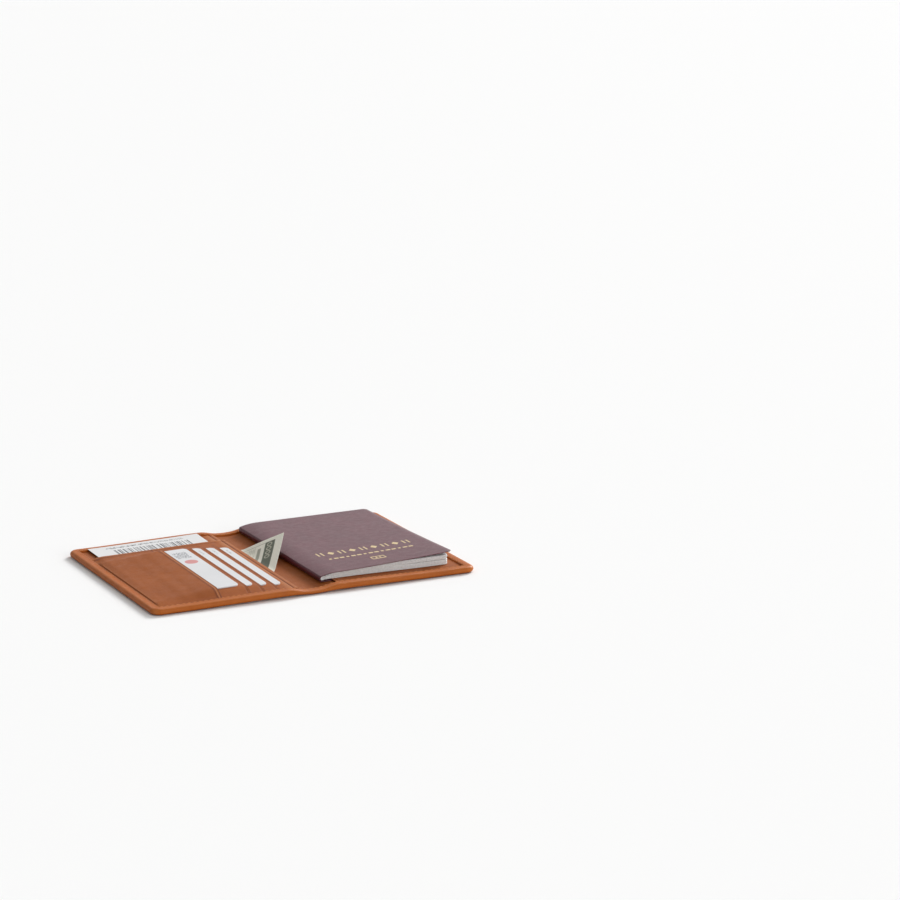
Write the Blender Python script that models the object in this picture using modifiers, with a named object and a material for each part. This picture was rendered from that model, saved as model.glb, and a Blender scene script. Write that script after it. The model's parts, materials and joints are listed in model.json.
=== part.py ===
"""Travel document organizer: an open bifold of tan leather for a passport, cards and papers.

Frame: +X is the opening direction, +Y runs along the spine to the back edge, +Z is up.
The origin is at the centre of the footprint, on the surface that the organizer lies on.
Moving pieces hang from an empty that stands on their joint's axis.
"""

import math

import bmesh
import bpy
from mathutils import Matrix, Vector

MM = 0.001

# Outside of the open organizer
OPEN_WIDTH = 209.8 * MM
DEPTH = 145.5 * MM
RIM_WIDTH = 6.0 * MM
RIM_TOP = 4.0 * MM
CORNER_RADIUS = 4.0 * MM
EDGE_ROUNDING = 0.7 * MM

# The two fold lines beside the spine
FOLD_LEFT_X = -9.6 * MM
FOLD_RIGHT_X = 6.6 * MM
FOLD_Z = 1.0 * MM
COVER_TO_FOLD = 0.3 * MM
LAYER_TO_FOLD = 0.7 * MM
SPINE_RIM_TOP = 2.6 * MM
RIM_TO_FOLD = 1.8 * MM

# Layer thicknesses, and the air between one layer and the next
LEATHER = 1.1 * MM
BOARD = 0.5 * MM
LINING = 0.3 * MM
THIN_LEATHER = 0.35 * MM
STRIP = 0.2 * MM
PAPER = 0.18 * MM
AIR = 0.06 * MM
SIDE_AIR = 0.15 * MM

# The pockets climb slightly towards the back, so that a paper clears the rolled rim
POCKET_CLIMB = math.radians(0.56)
PASS_POCKET_BACK = 47.3 * MM
TOP_PANEL_RIGHT = -58.9 * MM
TOP_PANEL_BACK = 42.2 * MM
STRIP_BACK = 38.0 * MM

# Bank cards of the ID-1 size
CARD_LENGTH = 85.6 * MM
CARD_DEPTH = 53.98 * MM
CARD_THICKNESS = 0.76 * MM
CARD_RADIUS = 3.18 * MM
CARD_FRONT = -57.2 * MM
CARD_COUNT = 4
LOWEST_CARD_RIGHT = -17.0 * MM
CARD_STEP = 9.1 * MM
CARD_SHOWN = 5.1 * MM

# Boarding pass
PASS_LEFT = -93.5 * MM
PASS_WIDTH = 72.6 * MM
PASS_FRONT = -62.0 * MM
PASS_BACK = 67.7 * MM

# Banknote, folded in half: one corner leans out of its compartment over the spine
NOTE_LENGTH = 78.0 * MM
NOTE_WIDTH = 66.0 * MM
NOTE_THICKNESS = 0.2 * MM
NOTE_TIP = Vector((13.0 * MM, 8.6 * MM, 16.0 * MM))
NOTE_TURN = math.radians(36.6)
NOTE_BEND_X = -5.0 * MM
NOTE_CLIMB = math.radians(45)
NOTE_CUTS = 7
NOTE_PIVOT = Vector((-44.0 * MM, -39.7 * MM, 2.2 * MM))

# Passport booklet, 88 by 125 mm, its back cover tucked into the sleeve
BOOK_SPINE_X = 7.3 * MM
BOOK_WIDTH = 88.0 * MM
BOOK_FRONT = -58.8 * MM
BOOK_LENGTH = 125.0 * MM
BOOK_TOP = 8.13 * MM
BOOK_COVER = 0.45 * MM
BOOK_RADIUS = 3.0 * MM
PAGE_INSET = 3.2 * MM
PAGE_END_INSET = 1.2 * MM
SLEEVE_OPENING_X = 14.9 * MM

ROUND_SEGMENTS = 5

# Places that follow from the values above
LEFT = -OPEN_WIDTH / 2
RIGHT = OPEN_WIDTH / 2
BACK = DEPTH / 2
INNER_LEFT = LEFT + RIM_WIDTH + SIDE_AIR
INNER_RIGHT = RIGHT - RIM_WIDTH - SIDE_AIR
INNER_BACK = BACK - RIM_WIDTH - SIDE_AIR
LEFT_PANEL_END = FOLD_LEFT_X - LAYER_TO_FOLD
RIGHT_PANEL_START = FOLD_RIGHT_X + LAYER_TO_FOLD

COLORS = {
    "cover_leather": (0.40, 0.125, 0.035, 1.0),
    "inner_leather": (0.34, 0.105, 0.035, 1.0),
    "lining_leather": (0.33, 0.12, 0.045, 1.0),
    "board": (0.45, 0.38, 0.28, 1.0),
    "card": (0.82, 0.83, 0.87, 1.0),
    "paper": (0.85, 0.85, 0.84, 1.0),
    "banknote": (0.62, 0.64, 0.52, 1.0),
    "booklet_cover": (0.085, 0.025, 0.035, 1.0),
    "page": (0.80, 0.80, 0.76, 1.0),
}
ROUGHNESS = {"card": 0.25, "booklet_cover": 0.35}
DEFAULT_ROUGHNESS = 0.6


def clear_scene():
    for thing in list(bpy.data.objects):
        bpy.data.objects.remove(thing, do_unlink=True)


def new_collection(name):
    collection = bpy.data.collections.new(name)
    bpy.context.scene.collection.children.link(collection)
    return collection


def make_material(name, finish):
    material = bpy.data.materials.new(name)
    material.use_nodes = True
    shader = material.node_tree.nodes["Principled BSDF"]
    shader.inputs["Base Color"].default_value = COLORS[finish]
    shader.inputs["Roughness"].default_value = ROUGHNESS.get(finish, DEFAULT_ROUGHNESS)
    shader.inputs["Metallic"].default_value = 0.0
    material.diffuse_color = COLORS[finish]
    return material


def make_axis(name, place, parent=None):
    """An empty on a joint's axis; what hangs from it keeps its place in the frame."""
    empty = bpy.data.objects.new(name, None)
    empty.empty_display_size = 0.01
    PARTS.objects.link(empty)
    hang(empty, parent)
    empty.location = place
    bpy.context.view_layer.update()
    return empty


def hang(thing, parent):
    """Parent without moving: coordinates stay those of the shared frame."""
    if parent is None:
        return
    thing.parent = parent
    thing.matrix_parent_inverse = parent.matrix_world.inverted()


def link_mesh(name, mesh_data, place, finish, parent, slope=None, collection=None):
    mesh = bpy.data.meshes.new(name)
    mesh_data.to_mesh(mesh)
    mesh_data.free()
    thing = bpy.data.objects.new(name, mesh)
    (collection or PARTS).objects.link(thing)
    if finish:
        mesh.materials.append(make_material(name, finish))
    hang(thing, parent)
    thing.matrix_basis = (slope or Matrix.Identity(4)) @ Matrix.Translation(place)
    return thing


def box_mesh(size):
    mesh_data = bmesh.new()
    bmesh.ops.create_cube(mesh_data, size=1.0)
    bmesh.ops.scale(mesh_data, vec=size, verts=mesh_data.verts)
    return mesh_data


def round_corners(mesh_data, radius, sides):
    """Round the upright edges on the -X side, the +X side or both."""
    upright = [
        edge
        for edge in mesh_data.edges
        if abs(edge.verts[0].co.z - edge.verts[1].co.z) > 0
        and any(edge.verts[0].co.x * side > 0 for side in sides)
    ]
    bmesh.ops.bevel(
        mesh_data, geom=upright, offset=radius, segments=ROUND_SEGMENTS, profile=0.5, affect="EDGES"
    )


def plate(name, finish, parent, x, y, z, radius=0.0, sides=(-1, 1), slope=None):
    """A flat piece between two corners, its upright edges rounded on the given sides."""
    low = Vector((x[0], y[0], z[0]))
    high = Vector((x[1], y[1], z[1]))
    mesh_data = box_mesh(high - low)
    if radius:
        round_corners(mesh_data, radius, sides)
    return link_mesh(name, mesh_data, (low + high) / 2, finish, parent, slope)


def soften(thing, width):
    """Round the long edges of a thick piece."""
    bevel = thing.modifiers.new("soft edges", "BEVEL")
    bevel.width = width
    bevel.segments = 2
    bevel.limit_method = "ANGLE"
    bevel.angle_limit = math.radians(50)


def rolled_rim(name, parent, x, side):
    """The hem rolled over a panel's three outer edges: a U that is open towards the spine."""
    bottom = LEATHER + AIR
    rim = plate(name, "cover_leather", parent, x, (-BACK, BACK), (bottom, RIM_TOP), CORNER_RADIUS, (side,))
    inner_edge = side * (RIGHT - RIM_WIDTH)
    past_end = -side * RIM_WIDTH
    width = abs(inner_edge - past_end)
    cutter = link_mesh(
        name + "_window",
        box_mesh(Vector((width, DEPTH - 2 * RIM_WIDTH, RIM_TOP * 3))),
        Vector(((inner_edge + past_end) / 2, 0, 0)),
        None,
        parent,
        collection=CUTTERS,
    )
    cutter.hide_render = True
    cutter.display_type = "WIRE"
    cut = rim.modifiers.new("window", "BOOLEAN")
    cut.operation = "DIFFERENCE"
    cut.solver = "EXACT"
    cut.object = cutter
    soften(rim, EDGE_ROUNDING)
    return rim


def panel_base(side_name, side, parent, cover_x, layer_x, rim_x):
    """Cover leather, its rolled rim, the stiffener and the lining of one half."""
    cover = plate(
        "outer_cover_" + side_name, "cover_leather", parent,
        cover_x, (-BACK, BACK), (0.0, LEATHER), CORNER_RADIUS, (side,),
    )
    soften(cover, EDGE_ROUNDING / 2)
    rolled_rim("rolled_rim_" + side_name, parent, rim_x, side)
    inner_y = (-INNER_BACK, INNER_BACK)
    board_low = LEATHER + AIR
    plate("stiffener_" + side_name, "board", parent, layer_x, inner_y, (board_low, board_low + BOARD))
    lining_low = board_low + BOARD + AIR
    plate("lining_" + side_name, "lining_leather", parent, layer_x, inner_y, (lining_low, lining_low + LINING))
    return lining_low + LINING


def spine(parent):
    """The strip of cover leather between the folds, its lining and its two hems."""
    cover_x = (FOLD_LEFT_X + COVER_TO_FOLD, FOLD_RIGHT_X - COVER_TO_FOLD)
    layer_x = (FOLD_LEFT_X + LAYER_TO_FOLD, FOLD_RIGHT_X - LAYER_TO_FOLD)
    rim_x = (FOLD_LEFT_X + RIM_TO_FOLD, FOLD_RIGHT_X - RIM_TO_FOLD)
    low = LEATHER + AIR
    plate("outer_cover_spine", "cover_leather", parent, cover_x, (-BACK, BACK), (0.0, LEATHER))
    plate("lining_spine", "lining_leather", parent, layer_x, (-INNER_BACK, INNER_BACK), (low, low + LINING))
    for name, inner, outer in (("front", -INNER_BACK - SIDE_AIR, -BACK), ("back", INNER_BACK + SIDE_AIR, BACK)):
        y = (min(inner, outer), max(inner, outer))
        plate("spine_hem_" + name, "cover_leather", parent, rim_x, y, (low, SPINE_RIM_TOP))


def climbing_frame(level):
    """The sloping frame of the pockets: level 0 of it meets the given height at the front hem."""
    pivot = Vector((0, -INNER_BACK, level))
    turn = Matrix.Rotation(POCKET_CLIMB, 4, "X")
    return Matrix.Translation(pivot) @ turn @ Matrix.Translation((0, INNER_BACK, 0))


def card_right_edge(number):
    """Card 1 lies on top, and each card below it stands one step further out."""
    return LOWEST_CARD_RIGHT - (CARD_COUNT - number) * CARD_STEP


def left_pockets(left_panel, lining_top):
    """Banknote compartment, pass pocket, card slots and what they hold, from the bottom up."""
    inner_y = (-INNER_BACK, INNER_BACK)
    layer_x = (INNER_LEFT, LEFT_PANEL_END)
    note_low = lining_top + AIR
    banknote(left_panel, note_low)
    base_low = note_low + NOTE_THICKNESS + AIR
    base_top = base_low + THIN_LEATHER
    plate("banknote_pocket", "inner_leather", left_panel, layer_x, inner_y, (base_low, base_top))

    slope = climbing_frame(base_top + AIR)
    pass_axis = make_axis("boarding_pass_slide", slope @ Vector((PASS_LEFT + PASS_WIDTH / 2, 0, 0)), left_panel)
    plate(
        "boarding_pass", "paper", pass_axis, (PASS_LEFT, PASS_LEFT + PASS_WIDTH),
        (PASS_FRONT, PASS_BACK), (0.0, PAPER), slope=slope,
    )
    low = PAPER + AIR
    plate(
        "pass_pocket", "inner_leather", left_panel, layer_x,
        (-INNER_BACK, PASS_POCKET_BACK), (low, low + THIN_LEATHER), slope=slope,
    )
    low += THIN_LEATHER + AIR
    for number in range(CARD_COUNT, 0, -1):
        right = card_right_edge(number)
        middle = slope @ Vector((right - CARD_DEPTH / 2, CARD_FRONT + CARD_LENGTH / 2, low))
        card_axis = make_axis(f"card_{number}_slide", middle, left_panel)
        plate(
            f"card_{number}", "card", card_axis, (right - CARD_DEPTH, right),
            (CARD_FRONT, CARD_FRONT + CARD_LENGTH), (low, low + CARD_THICKNESS), CARD_RADIUS, slope=slope,
        )
        low += CARD_THICKNESS + AIR
        if number > 1:
            plate(
                f"card_slot_{number}", "inner_leather", left_panel,
                (right - CARD_DEPTH - AIR, right - CARD_SHOWN), (-INNER_BACK, STRIP_BACK),
                (low, low + STRIP), slope=slope,
            )
            low += STRIP + AIR
    plate(
        "top_card_pocket", "inner_leather", left_panel, (INNER_LEFT, TOP_PANEL_RIGHT),
        (-INNER_BACK, TOP_PANEL_BACK), (low, low + THIN_LEATHER), slope=slope,
    )


def note_bend(flat_x, low):
    """Where a flat point of the note goes: level, then a round bend, then a straight climb."""
    run = NOTE_TIP.x - NOTE_BEND_X
    rise = NOTE_TIP.z - low
    sine, cosine = math.sin(NOTE_CLIMB), math.cos(NOTE_CLIMB)
    radius = (run * sine / cosine - rise) / (sine * sine / cosine - (1 - cosine))
    past = flat_x - NOTE_BEND_X
    if past <= 0:
        return flat_x, low
    angle = min(past / radius, NOTE_CLIMB)
    straight = max(past - radius * NOTE_CLIMB, 0.0)
    x = NOTE_BEND_X + radius * math.sin(angle) + straight * cosine
    return x, low + radius * (1 - math.cos(angle)) + straight * sine


def note_tip_flat(low):
    """The tip's distance out, measured along the bent note."""
    step = 0.05 * MM
    flat_x = NOTE_BEND_X
    while note_bend(flat_x, low)[0] < NOTE_TIP.x:
        flat_x += step
    return flat_x


def banknote(left_panel, low):
    tip_x = note_tip_flat(low)
    sheet = bmesh.new()
    bmesh.ops.create_grid(sheet, x_segments=1, y_segments=1, size=0.5)
    bmesh.ops.scale(sheet, vec=(NOTE_WIDTH, NOTE_LENGTH, 1.0), verts=sheet.verts)
    bmesh.ops.translate(sheet, vec=(-NOTE_WIDTH / 2, -NOTE_LENGTH / 2, 0), verts=sheet.verts)
    bmesh.ops.rotate(sheet, cent=(0, 0, 0), matrix=Matrix.Rotation(-NOTE_TURN, 3, "Z"), verts=sheet.verts)
    bmesh.ops.translate(sheet, vec=(tip_x, NOTE_TIP.y, 0), verts=sheet.verts)
    for cut in range(NOTE_CUTS):
        cut_x = NOTE_BEND_X + (tip_x - NOTE_BEND_X) * cut / (NOTE_CUTS + 1) * 0.6
        geometry = sheet.verts[:] + sheet.edges[:] + sheet.faces[:]
        bmesh.ops.bisect_plane(sheet, geom=geometry, plane_co=(cut_x, 0, 0), plane_no=(1, 0, 0))
    for vertex in sheet.verts:
        vertex.co.x, vertex.co.z = note_bend(vertex.co.x, low)
    bmesh.ops.translate(sheet, vec=-NOTE_PIVOT, verts=sheet.verts)
    pivot = make_axis("banknote_tuck", NOTE_PIVOT, left_panel)
    note = link_mesh("banknote", sheet, NOTE_PIVOT, "banknote", pivot)
    thickness = note.modifiers.new("paper", "SOLIDIFY")
    thickness.thickness = NOTE_THICKNESS
    thickness.offset = 1.0


def passport(right_panel, lining_top):
    """The sleeve, and the booklet whose back cover is tucked into it."""
    slide = make_axis("passport_slide", Vector((BOOK_SPINE_X, 0, lining_top)), right_panel)
    y = (BOOK_FRONT, BOOK_FRONT + BOOK_LENGTH)
    cover_x = (BOOK_SPINE_X + BOOK_COVER + AIR, BOOK_SPINE_X + BOOK_WIDTH)
    back_low = lining_top + AIR
    back_top = back_low + BOOK_COVER
    plate(
        "passport_spine", "booklet_cover", slide, (BOOK_SPINE_X, BOOK_SPINE_X + BOOK_COVER), y,
        (back_low, BOOK_TOP - BOOK_COVER - AIR),
    )
    plate("passport_back_cover", "booklet_cover", slide, cover_x, y, (back_low, back_top), BOOK_RADIUS, (1,))
    sleeve_low = back_top + AIR
    sleeve_top = sleeve_low + THIN_LEATHER
    plate(
        "passport_sleeve", "inner_leather", right_panel, (SLEEVE_OPENING_X, INNER_RIGHT),
        (-INNER_BACK, INNER_BACK), (sleeve_low, sleeve_top),
    )
    page_y = (BOOK_FRONT + PAGE_END_INSET, BOOK_FRONT + BOOK_LENGTH - PAGE_END_INSET)
    page_x = (cover_x[0], BOOK_SPINE_X + BOOK_WIDTH - PAGE_INSET)
    page_z = (sleeve_top + AIR, BOOK_TOP - BOOK_COVER - AIR)
    plate("passport_pages", "page", slide, page_x, page_y, page_z, BOOK_RADIUS, (1,))
    hinge = make_axis("passport_opening", Vector((BOOK_SPINE_X, 0, BOOK_TOP - BOOK_COVER)), slide)
    plate(
        "passport_front_cover", "booklet_cover", hinge, (BOOK_SPINE_X, BOOK_SPINE_X + BOOK_WIDTH), y,
        (BOOK_TOP - BOOK_COVER, BOOK_TOP), BOOK_RADIUS, (1,),
    )


def main():
    right_panel = make_axis("right_panel_root", Vector((0, 0, 0)))
    spine_axis = make_axis("spine_fold", Vector((FOLD_RIGHT_X, 0, FOLD_Z)), right_panel)
    left_panel = make_axis("left_fold", Vector((FOLD_LEFT_X, 0, FOLD_Z)), spine_axis)
    lining_top = panel_base(
        "right", 1, right_panel,
        (FOLD_RIGHT_X + COVER_TO_FOLD, RIGHT), (RIGHT_PANEL_START, INNER_RIGHT),
        (FOLD_RIGHT_X + RIM_TO_FOLD, RIGHT),
    )
    panel_base(
        "left", -1, left_panel,
        (LEFT, FOLD_LEFT_X - COVER_TO_FOLD), (INNER_LEFT, LEFT_PANEL_END),
        (LEFT, FOLD_LEFT_X - RIM_TO_FOLD),
    )
    spine(spine_axis)
    left_pockets(left_panel, lining_top)
    passport(right_panel, lining_top)


clear_scene()
PARTS = new_collection("travel_document_organizer")
CUTTERS = new_collection("cutters")
main()
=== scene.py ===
"""Looks of the travel document organizer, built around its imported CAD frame.

Sizes and places come from the frame's boxes where they can. The values below are the finer shapes of
leather and paper, and the places of the printed marks.
"""

import math

import bmesh
import bpy
import numpy as np
from mathutils import Matrix, Vector
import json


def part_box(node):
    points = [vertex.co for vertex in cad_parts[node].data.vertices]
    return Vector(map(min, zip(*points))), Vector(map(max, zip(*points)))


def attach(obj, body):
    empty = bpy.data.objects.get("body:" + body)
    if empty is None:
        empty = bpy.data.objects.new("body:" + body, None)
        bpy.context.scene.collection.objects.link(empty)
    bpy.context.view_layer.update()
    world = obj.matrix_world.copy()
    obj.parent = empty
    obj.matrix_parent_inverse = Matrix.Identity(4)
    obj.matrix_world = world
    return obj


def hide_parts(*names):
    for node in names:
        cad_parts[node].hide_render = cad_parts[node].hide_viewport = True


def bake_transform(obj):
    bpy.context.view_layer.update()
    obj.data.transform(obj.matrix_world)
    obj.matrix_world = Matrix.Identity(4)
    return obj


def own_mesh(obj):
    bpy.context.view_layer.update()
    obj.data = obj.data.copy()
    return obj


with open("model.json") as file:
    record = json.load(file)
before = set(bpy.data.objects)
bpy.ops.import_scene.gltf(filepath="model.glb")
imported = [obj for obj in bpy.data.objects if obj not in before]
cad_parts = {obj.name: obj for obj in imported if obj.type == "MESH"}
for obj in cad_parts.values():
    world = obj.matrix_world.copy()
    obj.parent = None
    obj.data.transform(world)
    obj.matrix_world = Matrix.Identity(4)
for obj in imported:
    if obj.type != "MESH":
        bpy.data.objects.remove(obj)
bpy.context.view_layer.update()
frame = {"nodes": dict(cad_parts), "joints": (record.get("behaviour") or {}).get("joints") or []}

MM = 0.001

# Camera: a long lens, from the front left and a little above
AIM = Vector((0.2277, 0.2112, 0.0))
CAMERA_AZIMUTH = math.radians(-26.39)
CAMERA_ELEVATION = math.radians(13.93)
CAMERA_DISTANCE = 2.2672
LENS = 129.66
SENSOR = 36.0

# Rolled rim of the cover leather
ROLL_WIDTH = 2.3 * MM
LIP_WIDTH = 4.8 * MM
LIP_DROP = 0.08 * MM
CREASE_WIDTH = 6.0 * MM
CREASE_DROP = 0.38 * MM
SEWN_LEVEL = 3.05 * MM
TRAY_WIDTH = 6.15 * MM
CORNER = 5.9 * MM
LEATHER = 1.1 * MM
SPINE_THIN = 0.52

# How the panels settle: they rise a little beside the spine, which lies on the table
LIFT = 0.8 * MM
LIFT_START = 14 * MM
LIFT_HOLD = 20 * MM
LIFT_FADE = 70 * MM

# Layers
THIN = 0.35 * MM
CARD_THICK = 0.76 * MM
CARD_CORNER = 3.18 * MM
STRIP_STEP = 0.2 * MM
PASS_THICK = 0.12 * MM
SKIN = 0.3 * MM
HOVER = 0.03 * MM

# How far pocket leather and lining reach past their solids, under the rim
TUCK = 0.2 * MM

# Rows of points lie closer together over the spine, up to this distance from its middle
BEND_ZONE = 24 * MM

# Lines pressed into the pockets, counted from the right edge, the back edge and a strip's right edge
SEAM = 3.2 * MM
PRESSED = 1.1 * MM
BACK_SEAM = 3.0 * MM
STRIP_LINE = 1.5 * MM

SHARP_ANGLE = math.radians(50)


def smooth(t):
    t = np.clip(t, 0.0, 1.0)
    return t * t * (3 - 2 * t)


def low(node):
    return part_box(node)[0]


def high(node):
    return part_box(node)[1]


def sides(node):
    """The ends of a CAD node along X and along Y."""
    return (low(node).x, high(node).x), (low(node).y, high(node).y)


def joint(name):
    return next(j for j in frame["joints"] if j["name"] == name)


HALF_WIDTH = high("outer_cover_right").x
HALF_DEPTH = high("outer_cover_right").y
RIM_TOP = high("rolled_rim_left").z
FOLD_LEFT = joint("left_fold")["pos_m"]
FOLD_RIGHT = joint("spine_fold")["pos_m"]
SPINE_X = (FOLD_LEFT[0] + FOLD_RIGHT[0]) / 2
PASS_AXIS = joint("boarding_pass_slide")["axis"]
CLIMB = PASS_AXIS[2] / PASS_AXIS[1]
POCKET_FRONT = low("pass_pocket").y


def from_spine(x):
    return np.abs(x - SPINE_X)


def lift(x):
    """Height that the panels gain beside the spine."""
    away = from_spine(x)
    return LIFT * smooth(away / LIFT_START) * (1 - smooth((away - LIFT_HOLD) / LIFT_FADE))


def fullness(x):
    """0 where the leather is thin, over the spine, and 1 on the two halves."""
    return smooth((from_spine(x) - 5 * MM) / (12 * MM))


# ---------------------------------------------------------------- mesh helpers


def show_mesh(name, mesh):
    """Puts a mesh in the scene, smooth apart from its sharp edges."""
    thing = bpy.data.objects.new(name, mesh)
    bpy.context.scene.collection.objects.link(thing)
    mesh.shade_smooth()
    mesh.set_sharp_from_angle(angle=SHARP_ANGLE)
    return thing


def make_object(name, points, faces):
    mesh = bpy.data.meshes.new(name)
    mesh.from_pydata([tuple(p) for p in points], [], faces)
    tidy = bmesh.new()
    tidy.from_mesh(mesh)
    bmesh.ops.remove_doubles(tidy, verts=tidy.verts, dist=1e-6)
    bmesh.ops.dissolve_degenerate(tidy, edges=tidy.edges, dist=1e-7)
    bmesh.ops.recalc_face_normals(tidy, faces=tidy.faces)
    tidy.to_mesh(mesh)
    tidy.free()
    return show_mesh(name, mesh)


def dress(thing, material):
    thing.data.materials.clear()
    thing.data.materials.append(material)


def spread(start, end, step, edge=0.3 * MM, extra=()):
    """Places from start to end: close together at both edges and around the extra ones."""
    count = max(2, int(math.ceil(abs(end - start) / step)))
    found = list(np.linspace(start, end, count + 1))
    for share in (0.15, 0.5, 1.0, 2.0):
        found += [start + edge * share, end - edge * share]
    for place in extra:
        found += [place + offset * MM for offset in (-0.9, -0.5, -0.25, 0.0, 0.25, 0.5, 0.9)]
    found = sorted(p for p in found if start - 1e-9 <= p <= end + 1e-9)
    kept = [found[0]]
    for place in found[1:]:
        if place - kept[-1] > 0.03 * MM:
            kept.append(place)
    kept[-1] = end
    return np.array(kept)


def places(*groups):
    """The places of all groups in order, each once."""
    return np.unique(np.round(np.concatenate(groups), 7))


def rounded(x, y, radius_left, radius_right):
    """Draws the rows near both ends in, so that a rectangle gets round corners."""

    def warp(grid_x, grid_y):
        end = np.minimum(grid_y - y[0], y[1] - grid_y)
        drawn = []
        for radius in (radius_left, radius_right):
            reach = np.clip(radius - end, 0.0, radius)
            drawn.append(radius - np.sqrt(np.maximum(radius**2 - reach**2, 0.0)))
        share = (grid_x - x[0]) / (x[1] - x[0])
        return x[0] + drawn[0] + share * (x[1] - x[0] - drawn[0] - drawn[1]), grid_y

    return warp


def corner_rows(y, radius):
    """Rows that follow a round corner at both ends."""
    turns = np.linspace(0, math.pi / 2, 7)
    offsets = radius * (1 - np.cos(turns))
    return [y[0] + o for o in offsets] + [y[1] - o for o in offsets]


def paint_crease_shading(thing, amount):
    """Stores painted shade (above 0) and painted highlight (below 0) for the leather's crease lines,
    grooves and edges, point by point.
    """
    points = np.array([v.co[:] for v in thing.data.vertices])
    layer = thing.data.attributes.new("crease", "FLOAT", "POINT")
    layer.data.foreach_set("value", amount(points[:, 0], points[:, 1], points[:, 2]).astype(np.float32))


def line(distance, width=0.4 * MM):
    return np.exp(-((distance / width) ** 2))


def grid_faces(start, rows, columns, below=False):
    """Faces between rows of points from a starting index; those seen from below are wound the other way."""
    faces = []
    for i in range(rows - 1):
        for j in range(columns - 1):
            a = start + i * columns + j
            b = a + columns
            faces.append((a, a + 1, b + 1, b) if below else (a, b, b + 1, a + 1))
    return faces


def slab(name, xs, ys, top, thickness, warp=None, edge=None):
    """A closed sheet of the given thickness under a height function, with soft edges."""
    grid_x, grid_y = np.meshgrid(xs, ys, indexing="ij")
    border = np.minimum(
        np.minimum(grid_x - xs[0], xs[-1] - grid_x), np.minimum(grid_y - ys[0], ys[-1] - grid_y)
    )
    radius = 0.48 * thickness if edge is None else edge
    deep = thickness(grid_x, grid_y) if callable(thickness) else thickness
    near = radius - np.clip(border, 0, radius)
    drop = radius - np.sqrt(np.maximum(radius**2 - near**2, 0.0))
    if warp:
        grid_x, grid_y = warp(grid_x, grid_y)
    height = top(grid_x, grid_y) + np.zeros_like(grid_x)
    count_x, count_y = grid_x.shape
    upper = np.stack([grid_x, grid_y, height - drop], -1).reshape(-1, 3)
    lower = np.stack([grid_x, grid_y, height - deep + drop], -1).reshape(-1, 3)
    points = np.concatenate([upper, lower])
    under = count_x * count_y
    faces = grid_faces(0, count_x, count_y)
    faces += grid_faces(under, count_x, count_y, below=True)
    ring = [i * count_y for i in range(count_x)]
    ring += [(count_x - 1) * count_y + j for j in range(1, count_y)]
    ring += [i * count_y + count_y - 1 for i in range(count_x - 2, -1, -1)]
    ring += [j for j in range(count_y - 2, 0, -1)]
    for a, b in zip(ring, ring[1:] + ring[:1]):
        faces.append((a, under + a, under + b, b))
    return make_object(name, points, faces)


def groove(distance, depth=0.16 * MM):
    """A creased line pressed into leather."""
    return -depth * line(distance, 0.28 * MM)


# ---------------------------------------------------------------- cover leather


def rim_profile():
    """(inset from the outer edge, height) of the cover's section, from the tray over the rim to below."""
    middle = RIM_TOP / 2
    section = [(TRAY_WIDTH, LEATHER), (TRAY_WIDTH - 0.1 * MM, LEATHER + 0.6 * (RIM_TOP - LEATHER))]
    for step in range(6):
        share = 1 - step / 5
        inset = LIP_WIDTH + (CREASE_WIDTH - LIP_WIDTH) * share
        section.append((inset, RIM_TOP - LIP_DROP - (CREASE_DROP - LIP_DROP) * float(smooth(share))))
    for step in range(1, 4):
        share = step / 4
        fall = LIP_DROP * (1 - share) ** 1.5
        section.append((LIP_WIDTH + (ROLL_WIDTH - LIP_WIDTH) * share, RIM_TOP - fall))
    for step in range(15):
        turn = math.pi / 2 - math.pi * step / 14
        section.append((ROLL_WIDTH * (1 - math.cos(turn) ** 0.85), middle + middle * math.sin(turn)))
    section.append((TRAY_WIDTH, 0.0))
    return section


def cover_height(z, x):
    """The section's height, thinned over the spine and settled on the table."""
    full = SPINE_THIN + (1 - SPINE_THIN) * float(fullness(x))
    if z > LEATHER:
        z = LEATHER + (z - LEATHER) * full
    return z + float(lift(x))


def cover_half(name, side):
    """One half of the cover, with its rim rolled around three sides, up to the middle of the spine."""
    outer = side * HALF_WIDTH
    inner = side * (HALF_WIDTH - TRAY_WIDTH)
    reach = abs(inner - SPINE_X)
    offsets = list(np.arange(0, BEND_ZONE, 1 * MM)) + list(np.linspace(BEND_ZONE, reach, 24))
    front = [SPINE_X + side * o for o in offsets]
    edge_y = HALF_DEPTH - TRAY_WIDTH
    side_y = list(np.linspace(-edge_y, edge_y, 40))
    turns = np.linspace(0, math.pi / 2, 11)
    stations = [("edge", x, -1) for x in front]
    stations += [("corner", a, -1) for a in turns]
    stations += [("side", y, 0) for y in side_y]
    stations += [("corner", a, 1) for a in turns[::-1]]
    stations += [("edge", x, 1) for x in front[::-1]]

    def place(station, inset):
        kind, value, end = station
        if kind == "edge":
            return value, end * (HALF_DEPTH - inset)
        if kind == "side":
            return outer - side * inset, value
        if inset >= CORNER:
            return outer - side * inset, end * (HALF_DEPTH - inset)
        x = outer - side * CORNER + side * math.sin(value) * (CORNER - inset)
        return x, end * (HALF_DEPTH - CORNER + math.cos(value) * (CORNER - inset))

    section = rim_profile()
    points, faces = [], []
    for station in stations:
        for inset, z in section:
            x, y = place(station, inset)
            points.append((x, y, cover_height(z, x)))
    width = len(section)
    faces += grid_faces(0, len(stations), width, below=True)
    for z in (LEATHER, 0.0):
        start = len(points)
        for x in front:
            points += [(x, y, cover_height(z, x)) for y in side_y]
        faces += grid_faces(start, len(front), len(side_y))
        if z == 0.0:
            upper = start - len(front) * len(side_y)
            faces += [(upper + j, start + j, start + j + 1, upper + j + 1) for j in range(len(side_y) - 1)]
    last = (len(stations) - 1) * width
    faces += [tuple(range(width)), tuple(range(last, last + width))]
    cover = make_object(name, points, faces)
    paint_crease_shading(cover, rim_painted_shading)
    return cover


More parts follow.
